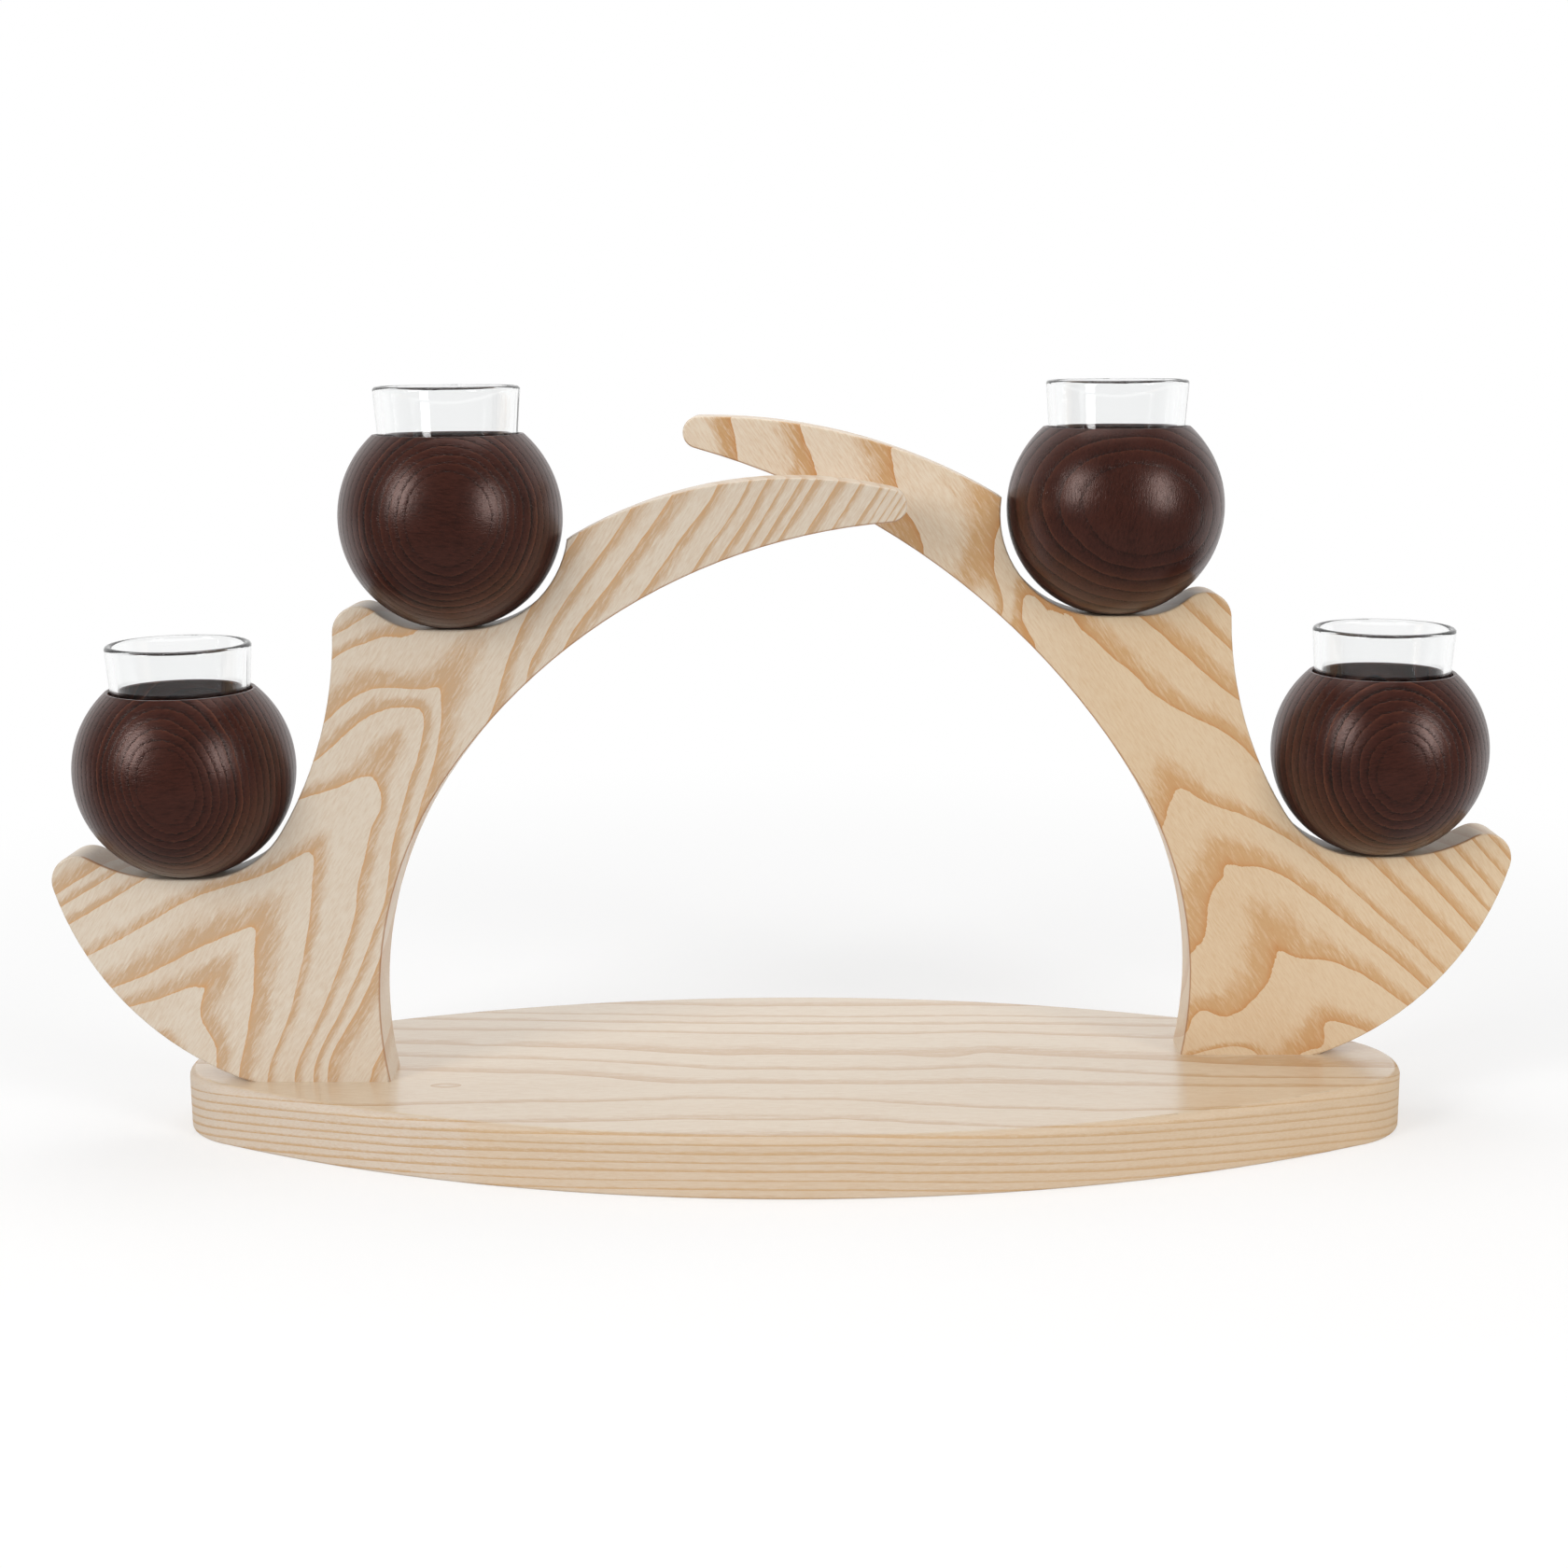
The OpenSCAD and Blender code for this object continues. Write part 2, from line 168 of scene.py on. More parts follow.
def noise(at, scale=1.0, detail=2.0, rough=0.5):
    """Smooth noise around 0, from about -0.5 to 0.5."""
    node = at.tree.nodes.new("ShaderNodeTexNoise")
    link(at.tree, at, node.inputs["Vector"])
    node.inputs["Scale"].default_value = scale
    node.inputs["Detail"].default_value = detail
    node.inputs["Roughness"].default_value = rough
    return Wire(at.tree, node.outputs["Fac"]) - 0.5


def grain_noise(fibre, along, across, detail=2.0, rough=0.5):
    """Noise drawn out along the fibre. fibre is the place along it and in the two directions
    across it, and each is multiplied by along or across before the noise is looked up."""
    stretched = vector(fibre[0] * along, fibre[1] * across, fibre[2] * across)
    return noise(stretched, detail=detail, rough=rough)


def drawn(value, points):
    """A curve drawn through (from, to) points, with straight runs between them."""
    spot, height = np.array(points, float).T
    low, span, floor, rise = spot[0], np.ptp(spot), height.min(), np.ptp(height)
    node = value.tree.nodes.new("ShaderNodeFloatCurve")
    link(value.tree, (value - float(low)) / float(span), node.inputs["Value"])
    line = node.mapping.curves[0]
    places = np.column_stack([(spot - low) / span, (height - floor) / rise]).tolist()
    line.points[0].location, line.points[-1].location = places[0], places[-1]
    for place in places[1:-1]:
        line.points.new(*place)
    for point in line.points:
        point.handle_type = "VECTOR"
    node.mapping.update()
    return Wire(value.tree, node.outputs[0]) * float(rise) + float(floor)


def blend(a, b, share):
    """a where share is 0, b where it is 1."""
    return (1.0 - share) * a + share * b


def mix_color(a, b, share):
    """The same for colours. A mix node keeps its share in socket 0, its colours in 6 and 7
    and the mixed colour in output 2."""
    tree = next(v.tree for v in (a, b, share) if isinstance(v, Wire))
    node = tree.nodes.new("ShaderNodeMix")
    node.data_type = "RGBA"
    for source, socket in ((share, 0), (a, 6), (b, 7)):
        link(tree, source, node.inputs[socket])
    return Wire(tree, node.outputs[2])


def paint(red, green, blue):
    """A colour as paint charts give it, from 0 to 255, made linear by the sRGB curve: a
    straight run near black, and then the power of 2.4."""
    parts = np.array([red, green, blue]) / 255
    parts = np.where(parts <= 0.04045, parts / 12.92, ((parts + 0.055) / 1.055) ** 2.4)
    return (*map(float, parts), 1.0)


def grey(level):
    """A linear grey, with full cover."""
    return (level, level, level, 1)


def rays(tree):
    """Three wires: 1 for what the camera sees itself, what a mirror sees and what shines
    through glass, and 0 for the light that falls on wood."""
    path = tree.nodes.new("ShaderNodeLightPath")
    kinds = ("Camera", "Glossy", "Transmission")
    return [Wire(tree, path.outputs[f"Is {kind} Ray"]) for kind in kinds]


def new_material(name, settings):
    """A material with its node tree and its shader, whose sockets take these plain values."""
    material = bpy.data.materials.new(name)
    material.use_nodes = True
    shader = material.node_tree.nodes["Principled BSDF"]
    for label, value in settings.items():
        shader.inputs[label].default_value = value
    return material, material.node_tree, shader


# %% World
PLAIN_LEVEL, DIM_LEVEL = 0.5, 0.07


def make_world():
    """Direction to the back counts: 1 behind the object, dim on the camera's side."""
    world = bpy.data.worlds.new("studio")
    bpy.context.scene.world = world
    world.use_nodes = True
    tree = world.node_tree
    tree.nodes.clear()
    out = tree.nodes.new("ShaderNodeOutputWorld")
    sky = tree.nodes.new("ShaderNodeBackground")
    sky.inputs["Color"].default_value = grey(1)
    tree.links.new(sky.outputs[0], out.inputs[0])
    back = split(coordinate(tree, "Generated"))[1]
    camera_ray, glossy, through = rays(tree)
    mirrored = blend(DIM_LEVEL, 1.0, back.step(-0.1, 0.7))
    level = blend(PLAIN_LEVEL, mirrored, glossy.math("MAXIMUM", through))
    link(tree, blend(level, 1.0, camera_ray), sky.inputs["Strength"])
    return world


print("world", make_world().name, "plain level", PLAIN_LEVEL)

# %% Lamps
def softbox(name, place, aim, size, power):
    """A rectangle of light at a place, turned to face its aim."""
    lamp = bpy.data.lights.new(name, "AREA")
    lamp.shape, lamp.size, lamp.size_y, lamp.energy = "RECTANGLE", size[0], size[1], power
    thing = bpy.data.objects.new(name, lamp)
    thing.location = place
    thing.rotation_euler = (Vector(aim) - Vector(place)).to_track_quat("-Z", "Y").to_euler()
    bpy.context.scene.collection.objects.link(thing)
    return thing


AIM = (0, 0, 0.14)
for name, place, size, power in (
    ("softbox_left", (-1.25, -1.15, 0.95), (0.55, 0.95), 13),
    ("softbox_right", (1.3, -1.2, 0.75), (0.5, 0.9), 11),
    ("softbox_top", (0, 0.35, 1.8), (1.2, 0.9), 6.5),
):
    softbox(name, place, AIM, size, power)
    print(name, "at", place, "with", power, "W")

# %% Floor
NEAR_GLOW, NEAR_GLOW_SEEN = 0.26, 0.52
FLOOR_RADIUS, FLOOR_CORNERS = 5, 64


def make_floor():
    """A disc at the height of the object's underside. It glows in the far distance, where
    the lamps don't reach, and less near the object, where its shadow lies. Mirrors see it
    darker in front of the object, as the dim side of a studio is."""
    turn = np.linspace(0, 2 * np.pi, FLOOR_CORNERS, endpoint=False)
    ring = FLOOR_RADIUS * np.column_stack([np.cos(turn), np.sin(turn), 0 * turn])
    mesh = bpy.data.meshes.new("floor")
    mesh.from_pydata(ring.tolist(), [], [list(range(FLOOR_CORNERS))])
    floor = bpy.data.objects.new("floor", mesh)
    bpy.context.scene.collection.objects.link(floor)
    matt = {"Roughness": 1, "Specular IOR Level": 0, "Emission Color": grey(1)}
    material, tree, shader = new_material("white_sweep", matt)
    camera_ray, glossy, through = rays(tree)
    looked = camera_ray.math("MAXIMUM", through)
    place = coordinate(tree, "Object")
    behind = split(place)[1].step(-0.15, 0.25)
    seen = looked.math("MAXIMUM", glossy * blend(0.1, 1.0, behind))
    length = tree.nodes.new("ShaderNodeVectorMath")
    length.operation = "LENGTH"
    link(tree, place, length.inputs[0])
    away = Wire(tree, length.outputs["Value"])
    far = blend(away.step(0.4, 1.0), away.step(0.27, 0.75), camera_ray)
    near = mix_color(grey(0.8), grey(0.2), glossy * (1.0 - behind))
    near = mix_color(near, grey(0.5), looked)
    glow = blend(blend(NEAR_GLOW, NEAR_GLOW_SEEN, looked), 1.0, far)
    link(tree, mix_color(near, grey(0), far), shader.inputs["Base Color"])
    link(tree, seen * glow, shader.inputs["Emission Strength"])
    mesh.materials.append(material)
    return floor


print("floor", len(make_floor().data.vertices), "corners, radius", FLOOR_RADIUS, "m")
bpy.context.scene.view_settings.view_transform = "Standard"

# %% [markdown]
# ## How ash shows its years
# A tree lays a shell of wood every year. In ash each shell starts with a row of coarse
# pores, so every year begins with a sharp brown line that fades outward in short
# streaks. Stained pictures of wood stop at the edges of a face. Here the years are
# worked out for every point in space, so the lines run over the edges as they do in
# sawn wood. One group turns a year number into colour and pores, and each board brings
# its own years.

# %% Years group
def start_group(name, inputs, outputs):
    """A new shader node group. Inputs are (name, kind, value) and outputs (name, kind). It
    gives back the tree, a wire from each input and the node that takes the results."""
    tree = bpy.data.node_groups.new(name, "ShaderNodeTree")
    for label, kind, value in inputs:
        socket = tree.interface.new_socket(label, in_out="INPUT", socket_type="NodeSocket" + kind)
        socket.default_value = value
    for label, kind in outputs:
        tree.interface.new_socket(label, in_out="OUTPUT", socket_type="NodeSocket" + kind)
    given = tree.nodes.new("NodeGroupInput")
    result = tree.nodes.new("NodeGroupOutput")
    return tree, {label: Wire(tree, given.outputs[label]) for label, _, _ in inputs}, result


def year_and_lot(year):
    """How much of its year has passed, from 0 to 1, and a number drawn by lot for the year."""
    lot = year.tree.nodes.new("ShaderNodeTexWhiteNoise")
    lot.noise_dimensions = "1D"
    link(year.tree, year.math("FLOOR"), lot.inputs["W"])
    return year.math("FRACT"), Wire(year.tree, lot.outputs["Value"])


def ash_figure_group():
    """A thin bright brown line marks the start of a year. The band behind it keeps its tone
    and then breaks up into strokes along the fibre, where age, the passed part of the year
    over the band's width, nears 1. A lot drawn for each year makes it wide or narrow."""
    tree, given, result = start_group(
        "ash_figure",
        [
            ("Year", "Float", 0.0), ("Fibre", "Vector", (0, 0, 0)), ("Width", "Float", 0.5),
            ("Pale", "Color", (0.6, 0.5, 0.4, 1)), ("Band", "Color", (0.5, 0.35, 0.2, 1)),
            ("Line", "Color", (0.3, 0.2, 0.1, 1)),
        ],
        [("Color", "Color"), ("Height", "Float"), ("Gloss", "Float")],
    )
    fibre = split(given["Fibre"])
    passed, lot = year_and_lot(given["Year"])
    streaks = grain_noise(fibre, 0.11, 0.95, detail=3, rough=0.7)
    brushes = grain_noise(fibre, 0.05, 0.3)
    age = passed / (given["Width"] * (lot * 0.7 + 0.6))
    spent = age + (streaks * 2.1 + brushes)
    band = (0.85 - spent).step(-0.3, 0.4)
    line = (1.0 - passed) ** 20.0
    dashes = grain_noise(fibre, 0.3, 3.2, detail=1)
    pores = dashes.step(0.06, 0.2) * band
    clouds = grain_noise(fibre, 0.012, 0.06, detail=3)
    silk = grain_noise(fibre, 0.2, 1.5, detail=3, rough=0.7)
    fade = 1.0 - age.math("MINIMUM", 1.0) * 0.45
    strokes = streaks.step(-0.13, 0.15)
    share = band * fade * (strokes * 1.05 + lot * 0.2 + 0.4) + clouds * 0.5 + silk * 1.5
    color = mix_color(given["Pale"], given["Band"], share.math("ADD", 0.16, clamp=True))
    brown = (line * (lot * 0.3 + 0.6) + pores * 0.3).math("MINIMUM", 1.0)
    link(tree, mix_color(color, given["Line"], brown), result.inputs["Color"])
    link(tree, -pores - band * 0.25, result.inputs["Height"])
    link(tree, pores * 0.6 + band * 0.2, result.inputs["Gloss"])
    return tree


ASH = ash_figure_group()
print("group", ASH.name, len(ASH.nodes), "nodes")

# %% Ash material
SATIN_COAT, BARE_ROUGH = 0.2, 0.7


def millimetres(tree):
    """The place of a point on the object, in millimetres, as x, y and z."""
    return [part * (1 / MM) for part in split(coordinate(tree, "Object"))]


def use_group(tree, group, **inputs):
    """A group at work in a material. Its results come back as wires, in their order."""
    node = tree.nodes.new("ShaderNodeGroup")
    node.node_tree = group
    for label, source in inputs.items():
        link(tree, source, node.inputs[label])
    return [Wire(tree, output) for output in node.outputs]


def add_bump(tree, shader, height, strength, distance):
    """Lets height tilt the shading, by this share of a relief of distance metres."""
    bump = tree.nodes.new("ShaderNodeBump")
    bump.inputs["Strength"].default_value = strength
    bump.inputs["Distance"].default_value = distance
    link(tree, height, bump.inputs["Height"])
    link(tree, bump.outputs["Normal"], shader.inputs["Normal"])


def ash_material(name, years, pale, band, line, width, rough=0.42, lacquer=None, edges=None):
    """years(tree) gives the year number and the fibre coordinates of a point. pale is a
    colour, or a function of the tree that gives one. lacquer(tree) is 1 where the wood is
    lacquered and 0 where it stays matt. edges(tree, color) paints light and shade at edges."""
    material, tree, shader = new_material(
        name, {"Specular IOR Level": 0.4, "Coat Roughness": SATIN_COAT}
    )
    year, fibre = years(tree)
    pale = pale(tree) if callable(pale) else pale
    color, height, gloss = use_group(
        tree, ASH, Year=year, Fibre=fibre, Width=width, Pale=pale, Band=band, Line=line
    )
    satin = gloss * 0.12 + rough
    if lacquer:
        covered = lacquer(tree)
        satin = blend(BARE_ROUGH, satin, covered)
        link(tree, covered, shader.inputs["Coat Weight"])
    link(tree, edges(tree, color) if edges else color, shader.inputs["Base Color"])
    link(tree, satin, shader.inputs["Roughness"])
    add_bump(tree, shader, height, strength=0.35, distance=0.00008)
    return material


# %% [markdown]
# ## The years of each piece
# The front upright was sawn through the middle of a board, so its years stack up as
# arrowheads that point along the grain, up and to the right. The rear one is a mirror of
# that idea, wider and wavier. The board on the table was sawn flat, and its years lie
# almost level. Each function below measures how far a point has travelled through the
# years, and a drawn curve then sets where each year begins.

# %% Front upright: years
def year_curve(travel, starts, low, high):
    """Turns travel through the wood into a year number: 1, 2, 3 … at each start."""
    last = len(starts) + (high - starts[-1]) / (starts[-1] - starts[-2])
    points = [(start, year) for year, start in enumerate(starts, start=1)]
    return drawn(travel, [(low, 0), *points, (high, last)])


FRONT_STARTS = [
    -105, -72.5, -53, -20, 14.6, 34.4, 48.2, 88.2, 109.5, 128, 152, 176, 191, 206, 219, 231, 252,
    274, 294.5, 305, 314, 321, 329, 337, 345,
]
FRONT_BENDS = [
    (-156, 176, 27, -23.4), (-168, 32, 18, 19.1), (-78, 188, 27, 15.7), (-192, 44, 18, -2.7),
    (-132, 182, 12, 14.7), (-216, 50, 12, 14.4), (-234, 56, 27, 13.6), (-192, 104, 18, 9.6),
    (-162, 134, 12, 5.7), (-204, 74, 18, 6.8), (-132, 146, 18, -4.5), (-186, 26, 12, 9.2),
    (-60, 218, 18, 3.3), (-162, 56, 12, 3.9), (-222, 56, 8, -3.5), (-90, 176, 8, 4.3),
    (-150, 140, 8, 5.6), (-150, 128, 8, -6.3), (-162, 122, 27, 1.2), (-144, 92, 12, -5.2),
    (-156, 98, 8, 2.7), (-162, 182, 8, 1.7), (-24, 236, 12, -5.2),
]


def bent(travel, x, z, bends):
    """A tree bends its years round old branches. Each row (x, z, reach, push) adds push times
    e to the power of minus the square of the distance over reach, all in mm."""
    here = vector(x, 0.0, z)
    for bend_x, bend_z, reach, push in bends:
        far = here.tree.nodes.new("ShaderNodeVectorMath")
        far.operation = "DISTANCE"
        link(here.tree, here, far.inputs[0])
        far.inputs[1].default_value = (bend_x, 0.0, bend_z)
        near = Wire(here.tree, far.outputs["Value"]) / float(reach)
        travel = (-(near * near)).math("EXPONENT") * push + travel
    return travel


def turned(x, z, degrees):
    """Coordinates along and across a line that rises at this angle in the upright's plane."""
    lean = math.radians(degrees)
    along = x * math.cos(lean) + z * math.sin(lean)
    return along, x * -math.sin(lean) + z * math.cos(lean)


def frayed(fibre, reach):
    """Fibre bundles that start a year a little earlier or later, by about reach in mm."""
    return grain_noise(split(fibre), 0.12, 1.1) * reach


# The front faces of the two uprights and half of their thickness, in mm.
FRONT_FACE, REAR_FACE, HALF_THICK = -26, 6, 10.0
FACE_LACQUER, RIM_LACQUER = 0.8, 0.35
ARCH_MIDDLE_Z = 90.0
# The heart line of each upright's years runs this far in front of its front face.
HEART_AHEAD = 2.5
FRONT_LEAN, FRONT_FIBRE_LEAN, FRONT_HEART = 51, 57, 203.8


def from_heart(across, y, front):
    """Distance from the heart line: the root of the square across it plus the square of the
    depth behind it. HEART_AHEAD is taken off, so the nearest point of the face is at 0."""
    behind = y - (front - HEART_AHEAD)
    return (across * across + behind * behind).math("SQRT") - HEART_AHEAD


def broad_faces(front):
    """How much lacquer covers an upright whose front face lies at y = front. Its sawn rims
    drink most of it."""
    def mask(tree):
        x, y, z = millimetres(tree)
        at_face = (y - (front + HALF_THICK)).math("ABSOLUTE").step(9.3, 9.95)
        return blend(RIM_LACQUER, FACE_LACQUER, at_face)
    return mask


def painted_edge_light_and_shade(front):
    """Painted light and shade at the edges. The sawn rims are painted paler, as painted light,
    and a dark brown line of painted shade runs along the eased front arris, where its normal
    faces the middle of the arch."""
    def tone(tree, color):
        x, y, z = millimetres(tree)
        sawn = FACE_LACQUER - broad_faces(front)(tree)
        # Painted light: the sawn rims are mixed towards a pale colour.
        color = mix_color(color, paint(242, 226, 206), sawn)
        normal_x, _, normal_z = split(coordinate(tree, "Normal"))
        inward = normal_z * (ARCH_MIDDLE_Z - z) - normal_x * x
        eased = (y - front).step(0.02, 0.2) * (front + 1.1 - y).step(0.0, 0.4)
        # Painted shade: a dark brown line on the eased arris that faces the middle of the arch.
        return mix_color(color, paint(176, 120, 76), eased * inward.step(15.0, 50.0) * 0.7)
    return tone


def front_years(tree):
    """Along the grain g and across it c, both turned by FRONT_LEAN. Travel is g, slower
    past 50 mm, plus 1.7 times the distance from the heart line, plus c squared over 100. The
    bends hold on the front face, and the lines wander more the deeper they run."""
    x, y, z = millimetres(tree)
    g, c = turned(x, z, FRONT_LEAN)
    c = c - FRONT_HEART
    slow = (g - 50.0).math("MAXIMUM", 0.0)
    wander = noise(vector(g / 70.0, c / 28.0, y / 40.0)) * (y - FRONT_FACE) * 0.4
    wander = wander + noise(vector(g / 12.0, c / 7.0, y / 16.0), detail=1) * 2.0
    travel = g - slow * 0.65 + from_heart(c, y, FRONT_FACE) * 1.7 + c * c * 0.01
    travel = bent(travel, x, z, FRONT_BENDS) + wander
    fibre = vector(*turned(x, z, FRONT_FIBRE_LEAN), y)
    return year_curve(travel + frayed(fibre, 1.2), FRONT_STARTS, -160, 350), fibre


ash_front = ash_material(
    "ash_pale", front_years, paint(226, 212, 193), paint(203, 170, 135), paint(214, 160, 102),
    width=0.48, lacquer=broad_faces(FRONT_FACE), edges=painted_edge_light_and_shade(FRONT_FACE),
)
print(ash_front.name, len(FRONT_STARTS), "years,", len(FRONT_BENDS), "bends")

# %% Rear upright: years
REAR_STARTS = [-69.2, -26.3, 6.3, 37, 81.7, 122.5, 164.6, 197.6, 236, 268, 300, 332, 364]
REAR_BENDS = [
    (83, 188, 27, -35.8), (179, 56, 27, 21.4), (149, 104, 27, 9.8), (155, 38, 8, -13.0),
    (191, 86, 27, -4.8), (203, 26, 8, 10.4), (95, 188, 8, 1.7), (155, 68, 12, 5.6),
    (167, 146, 12, -6.5), (131, 188, 27, -4.6), (167, 92, 8, 6.5), (5, 260, 8, -5.0),
    (155, 122, 12, 4.2), (179, 62, 8, -3.8), (191, 62, 12, 4.1), (-19, 254, 27, 5.3),
    (83, 200, 8, -6.5), (137, 158, 12, 4.8), (161, 80, 12, 2.5), (99, 170, 11, -9.0),
    (146, 19, 9, -37), (154, 19, 9, -25), (162, 19, 9, -33), (170, 19, 9, -38),
    (147, 37, 8, -4.6), (73, 198, 8, 33.6), (49, 213, 18, 12.3), (82, 201, 7, -3.0),
    (76, 192, 7, 29.0), (76, 210, 7, 7.3), (82, 192, 7, -7.3),
]
REAR_LEAN, REAR_FIBRE_LEAN, REAR_HEART = 122, 124, -189.5


def rear_years(tree):
    """The same idea turned by REAR_LEAN: the inner side of the heart line travels more
    slowly than the outer side, and the lines are wavier."""
    x, y, z = millimetres(tree)
    g, c = turned(x, z, REAR_LEAN)
    c = c - REAR_HEART
    inner, outer = c.math("MAXIMUM", 0.0), c.math("MINIMUM", 0.0)
    slow = (g - 100.0).math("MAXIMUM", 0.0)
    wander = noise(vector(g / 24.0, c / 22.0, y / 30.0), detail=1) * (y - REAR_FACE) * 0.7
    wander = wander + noise(vector(g / 10.0, c / 8.0, y / 16.0), detail=1) * 3.0
    travel = g - slow * 0.5 + from_heart(inner, y, REAR_FACE) * 0.7
    travel = travel + from_heart(outer, y, REAR_FACE) * 1.4
    travel = travel + inner * inner * 0.004 + outer * outer * 0.025
    travel = bent(travel, x, z, REAR_BENDS) + wander
    fibre = vector(*turned(x, z, REAR_FIBRE_LEAN), y)
    return year_curve(travel + frayed(fibre, 1.0), REAR_STARTS, -130, 400), fibre


def rear_pale(tree):
    """Warm at the leg, paler and pinker towards the end of the arm."""
    x, y, z = millimetres(tree)
    return mix_color(paint(240, 224, 202), paint(230, 205, 171), x.step(20.0, 130.0))


ash_rear = ash_material(
    "ash_warm", rear_years, rear_pale, paint(211, 168, 119), paint(204, 142, 80),
    width=0.4, lacquer=broad_faces(REAR_FACE), edges=painted_edge_light_and_shade(REAR_FACE),
)
print(ash_rear.name, len(REAR_STARTS), "years,", len(REAR_BENDS), "bends")

# %% Board: years
GLUE_Y, BOARD_THICK, CLIMB = -64, 22.5, 5.6
# What the front stave adds to the number of a year and to the place of a fibre.
STAVE_YEARS, STAVE_FIBRES = 7.0, 31.0
EVEN_STARTS = [-247 + 18 * year for year in range(10)]
BOARD_STARTS = EVEN_STARTS + [-67, -46, -29, -12, 5, 32, 45, 55, 70, 86, 104, 122]
# How far the years sway to the back at each x, in the board's middle and in its front.
MIDDLE_SWAY = [
    (-240, 26), (-145, 17), (-75, 10), (-30, 1), (45, 0), (75, 4), (105, -1), (160, -10),
    (240, -16),
]
FRONT_SWAY = [
    (-240, -2), (-140, -6), (-40, 0), (20, 0), (70, -8), (110, -12), (170, -9), (240, -4),
]
# Each knot has its x and y, its reach along and across the board, and its push.
KNOTS = [(-127, -30, 6.5, 3.0, 12.0), (-120, 22, 6.0, 3.0, 8.0), (58, 6, 9.0, 4.0, 7.0)]


def board_years(tree):
    """Shells that climb towards the front, by 1 mm for each CLIMB. They sway along the board
    as two drawn curves say, one for its middle and one for its front, and part round small
    knots. A glued joint runs along GLUE_Y: in front of it the lots and fibres are others."""
    x, y, z = millimetres(tree)
    level = y + (z - BOARD_THICK) * CLIMB
    in_middle = (level + 38.0).step(0.0, 22.0) - (level - 8.0).step(0.0, 30.0) * 0.6
    middle = drawn(x, MIDDLE_SWAY) * in_middle
    front = drawn(x, FRONT_SWAY) * (-38.0 - level).step(-8.0, 10.0)
    knots = 0.0
    for knot_x, knot_y, wide, high, push in KNOTS:
        far = ((x - knot_x) / wide) ** 2.0 + ((y - knot_y) / high) ** 2.0
        knots = (-far).math("EXPONENT") * push + knots
    wander = noise(vector(x / 60.0, level / 20.0, 0.0)) * 6.0
    wander = wander + noise(vector(x / 14.0, level / 8.0, 0.0), detail=1) * 1.2
    stave = y.math("LESS_THAN", GLUE_Y)
    travel = level - middle - front + knots + wander
    years = year_curve(travel, BOARD_STARTS, -300, 150)
    return years + stave * STAVE_YEARS, vector(x, y + stave * STAVE_FIBRES, z * 2.0)


def board_top(tree):
    """Only the flat top is polished; its round and the side are matt."""
    x, y, z = millimetres(tree)
    return z.step(BOARD_THICK - 0.4, BOARD_THICK - 0.04)


def board_pale(tree):
    """The side is a little darker than the top. It is greyer where
    the second stave comes out at its left, and warmer towards the right."""
    x, y, z = millimetres(tree)
    warm = x.step(-118.0, -110.0) * 0.5 + x.step(0.0, 220.0) * 0.5
    side = mix_color(paint(219, 204, 187), paint(217, 193, 163), warm)
    return mix_color(side, paint(227, 208, 182), board_top(tree))


ash_board = ash_material(
    "ash_board", board_years, board_pale, paint(207, 174, 135), paint(197, 156, 113),
    width=0.34, rough=0.36, lacquer=board_top,
)
print(ash_board.name, len(BOARD_STARTS), "years,", len(KNOTS), "knots")

# %% [markdown]
# ## Stained balls
# Each ball was turned from a block whose years lie square to one direction, so it wears
# a target of rings where that direction meets its skin. The stain soaks into the pores,
# and the satin finish leaves fine ridges, so the rings show best inside the highlights.
# The target could be painted, but shells that cut the ball give the right spacing
# everywhere.

# %% Ball material
BALL_FOOT, BALL_RADIUS, FIRST_YEAR = 39.129, 39.75, 20.0


def stained_group():
    """Years on dark stain: a dark rough line of pores at each start, a lighter line just
    before it, where hard late wood took less stain, and a height that drops in the pores."""
    tree, given, result = start_group(
        "stained_figure",
        [
            ("Year", "Float", 0.0), ("Fibre", "Vector", (0, 0, 0)),
            ("Dark", "Color", (0.03, 0.015, 0.01, 1)), ("Light", "Color", (0.08, 0.04, 0.03, 1)),
            ("Late", "Color", (0.14, 0.07, 0.05, 1)),
        ],
        [("Color", "Color"), ("Height", "Float"), ("Gloss", "Float")],
    )
    fibre = split(given["Fibre"])
    passed, lot = year_and_lot(given["Year"])
    lot = lot ** 2.0 * 1.3 + 0.3
    start = (1.0 - passed) ** 4.0
    early = start * lot
    streaks = grain_noise(fibre, 0.3, 1.4, detail=3, rough=0.7)
    clouds = grain_noise(fibre, 0.04, 0.08)
    dashes = grain_noise(fibre, 0.4, 1.9, detail=1)
    pores = dashes.step(0.0, 0.12) * (start * (lot * 0.8 + 0.4) + 0.1)
    shade = (early * -1.1 + 0.76 + streaks * 1.4 + clouds * 0.9).step(0.0, 1.0)
    color = mix_color(given["Dark"], given["Light"], shade)
    late = (passed ** 7.0 * lot * (streaks * 2.5 + 1.1)).math("MAXIMUM", 0.0)
    color = mix_color(color, given["Late"], late)
    link(tree, mix_color(color, (0.010, 0.005, 0.004, 1.0), pores * 0.8), result.inputs["Color"])
    link(tree, pores * -0.9 - start * 0.7 + streaks * 0.5, result.inputs["Height"])
    link(tree, early * 0.6 + pores * 0.4, result.inputs["Gloss"])
    return tree


STAINED = stained_group()
print("group", STAINED.name, len(STAINED.nodes), "nodes")


